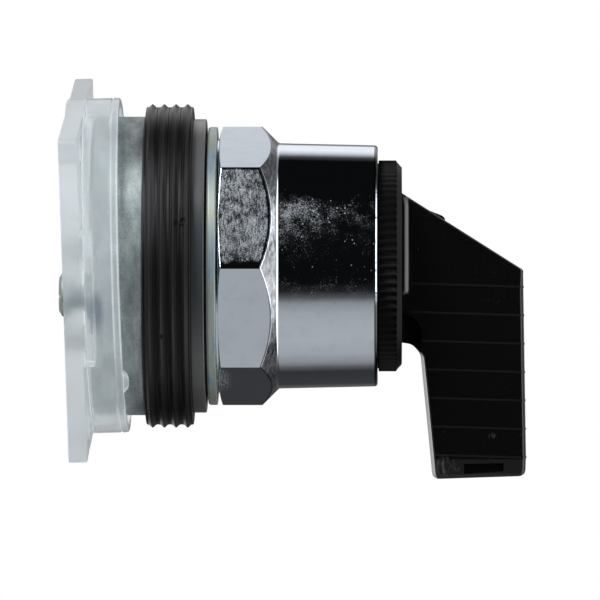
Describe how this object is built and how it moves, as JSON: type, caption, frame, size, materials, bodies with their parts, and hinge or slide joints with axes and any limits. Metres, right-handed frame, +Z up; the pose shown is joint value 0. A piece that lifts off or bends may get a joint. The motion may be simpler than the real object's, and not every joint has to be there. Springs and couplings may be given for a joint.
{
  "type": "rotary selector switch",
  "caption": "Panel-mount rotary selector switch operator: a lever knob turns a spindle and cam that push rods out of a rear contact adaptor.",
  "frame": {"origin": "on the switch axis, at the front face of the cast flange where the rear gasket seats", "axes": "+X along the switch axis out of the panel towards the lever, +Z up, the lever hanging along -Z at rest"},
  "size_m": [0.0634, 0.0635, 0.0555],
  "materials": {
    "zinc_casting": "rough die-cast zinc, mottled grey",
    "rubber": "moulded black rubber",
    "grey_plastic": "smooth satin dark grey",
    "black_fibre": "thin black fibre",
    "zinc_plate": "zinc plate with a faint iridescence",
    "chrome": "bright chrome with fine dust",
    "bronze": "oiled bronze",
    "spring_steel": "blued spring steel",
    "milky_nylon": "milky translucent nylon",
    "screw_zinc": "zinc-plated steel",
    "steel": "turned steel",
    "white_nylon": "white nylon",
    "black_collar": "satin black moulding",
    "black_gloss": "glossy black moulding",
    "white_inlay": "white pointer strip"
  },
  "bodies": {
    "operator": {"operator_body": "zinc_casting", "gasket_1": "rubber", "gasket_2": "rubber", "gasket_3": "rubber", "gasket_4": "rubber", "spacer_ring": "grey_plastic", "sealing_washer": "black_fibre", "trim_washer": "zinc_plate", "ring_nut": "chrome", "spindle_bush": "bronze", "shaft_seal": "rubber", "thrust_washer": "bronze", "detent_spring": "spring_steel", "contact_adaptor": "milky_nylon", "adaptor_screws": "screw_zinc"},
    "knob": {"spindle": "steel", "detent_wheel": "white_nylon", "actuating_cam": "white_nylon", "retaining_clip": "spring_steel", "knurled_collar": "black_collar", "lever_handle": "black_gloss", "pointer_inlay": "white_inlay", "lever_set_screw": "steel"},
    "upper_rod": {"push_rod_upper": "white_nylon"},
    "lower_rod": {"push_rod_lower": "white_nylon"}
  },
  "joints": [
    {"name": "lever_turn", "type": "hinge", "parent": "operator", "child": "knob", "pos_m": [0, 0, 0], "axis": [1, 0, 0], "range_deg": [0, 90], "deforming": ["detent_spring"]},
    {"name": "upper_rod_slide", "type": "slide", "parent": "operator", "child": "upper_rod", "axis": [-1, 0, 0], "range_m": [0, 0.002]},
    {"name": "lower_rod_slide", "type": "slide", "parent": "operator", "child": "lower_rod", "axis": [1, 0, 0], "range_m": [0, 0.002]}
  ],
  "couplings": [
    {"joint": "upper_rod_slide", "follows": "lever_turn", "m_per_rad": 0.0012732},
    {"joint": "lower_rod_slide", "follows": "lever_turn", "m_per_rad": 0.0012732}
  ]
}
